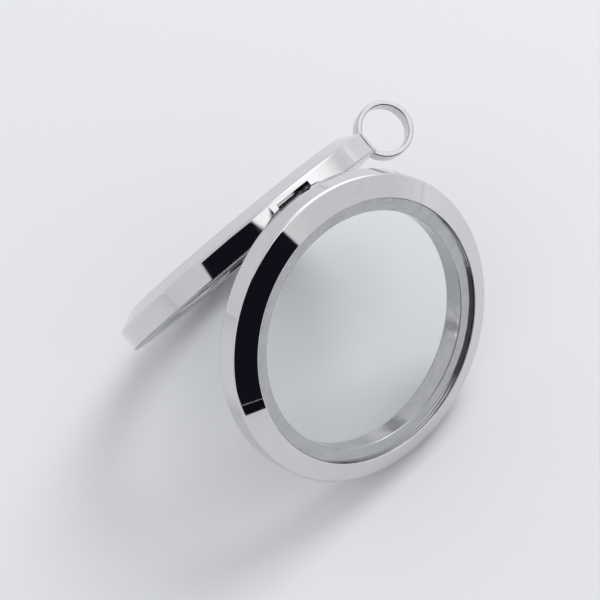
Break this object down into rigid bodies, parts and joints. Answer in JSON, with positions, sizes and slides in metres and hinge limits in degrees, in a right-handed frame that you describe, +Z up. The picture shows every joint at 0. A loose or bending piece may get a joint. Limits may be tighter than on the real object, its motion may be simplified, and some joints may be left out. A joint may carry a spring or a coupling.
{
  "type": "floating locket",
  "caption": "Round polished steel glass locket with a bevelled rim, standing open like a tent on its hinge, with a ring on the rim for a chain.",
  "frame": {"origin": "middle of the footprint, on the surface that the open locket stands on", "axes": "+Z up, +X along the hinge towards the side with the chain ring, the front half stands towards -Y and the back half towards +Y"},
  "size_m": [0.0356, 0.0298, 0.0279],
  "materials": {
    "steel": "mirror polished",
    "glass": "clear polished",
    "magnet": "nickel plated"
  },
  "bodies": {
    "back": {"back_frame": "steel", "back_glass": "glass", "hinge_pin": "steel", "closing_magnet": "magnet"},
    "front": {"front_frame": "steel", "front_glass": "glass"}
  },
  "joints": [
    {"name": "hinge", "type": "hinge", "parent": "back", "child": "front", "pos_m": [-0.00214, 0.00003, 0.02559], "axis": [-0.9984, 0, 0.0558], "range_deg": [-53.6, 1.4]}
  ]
}
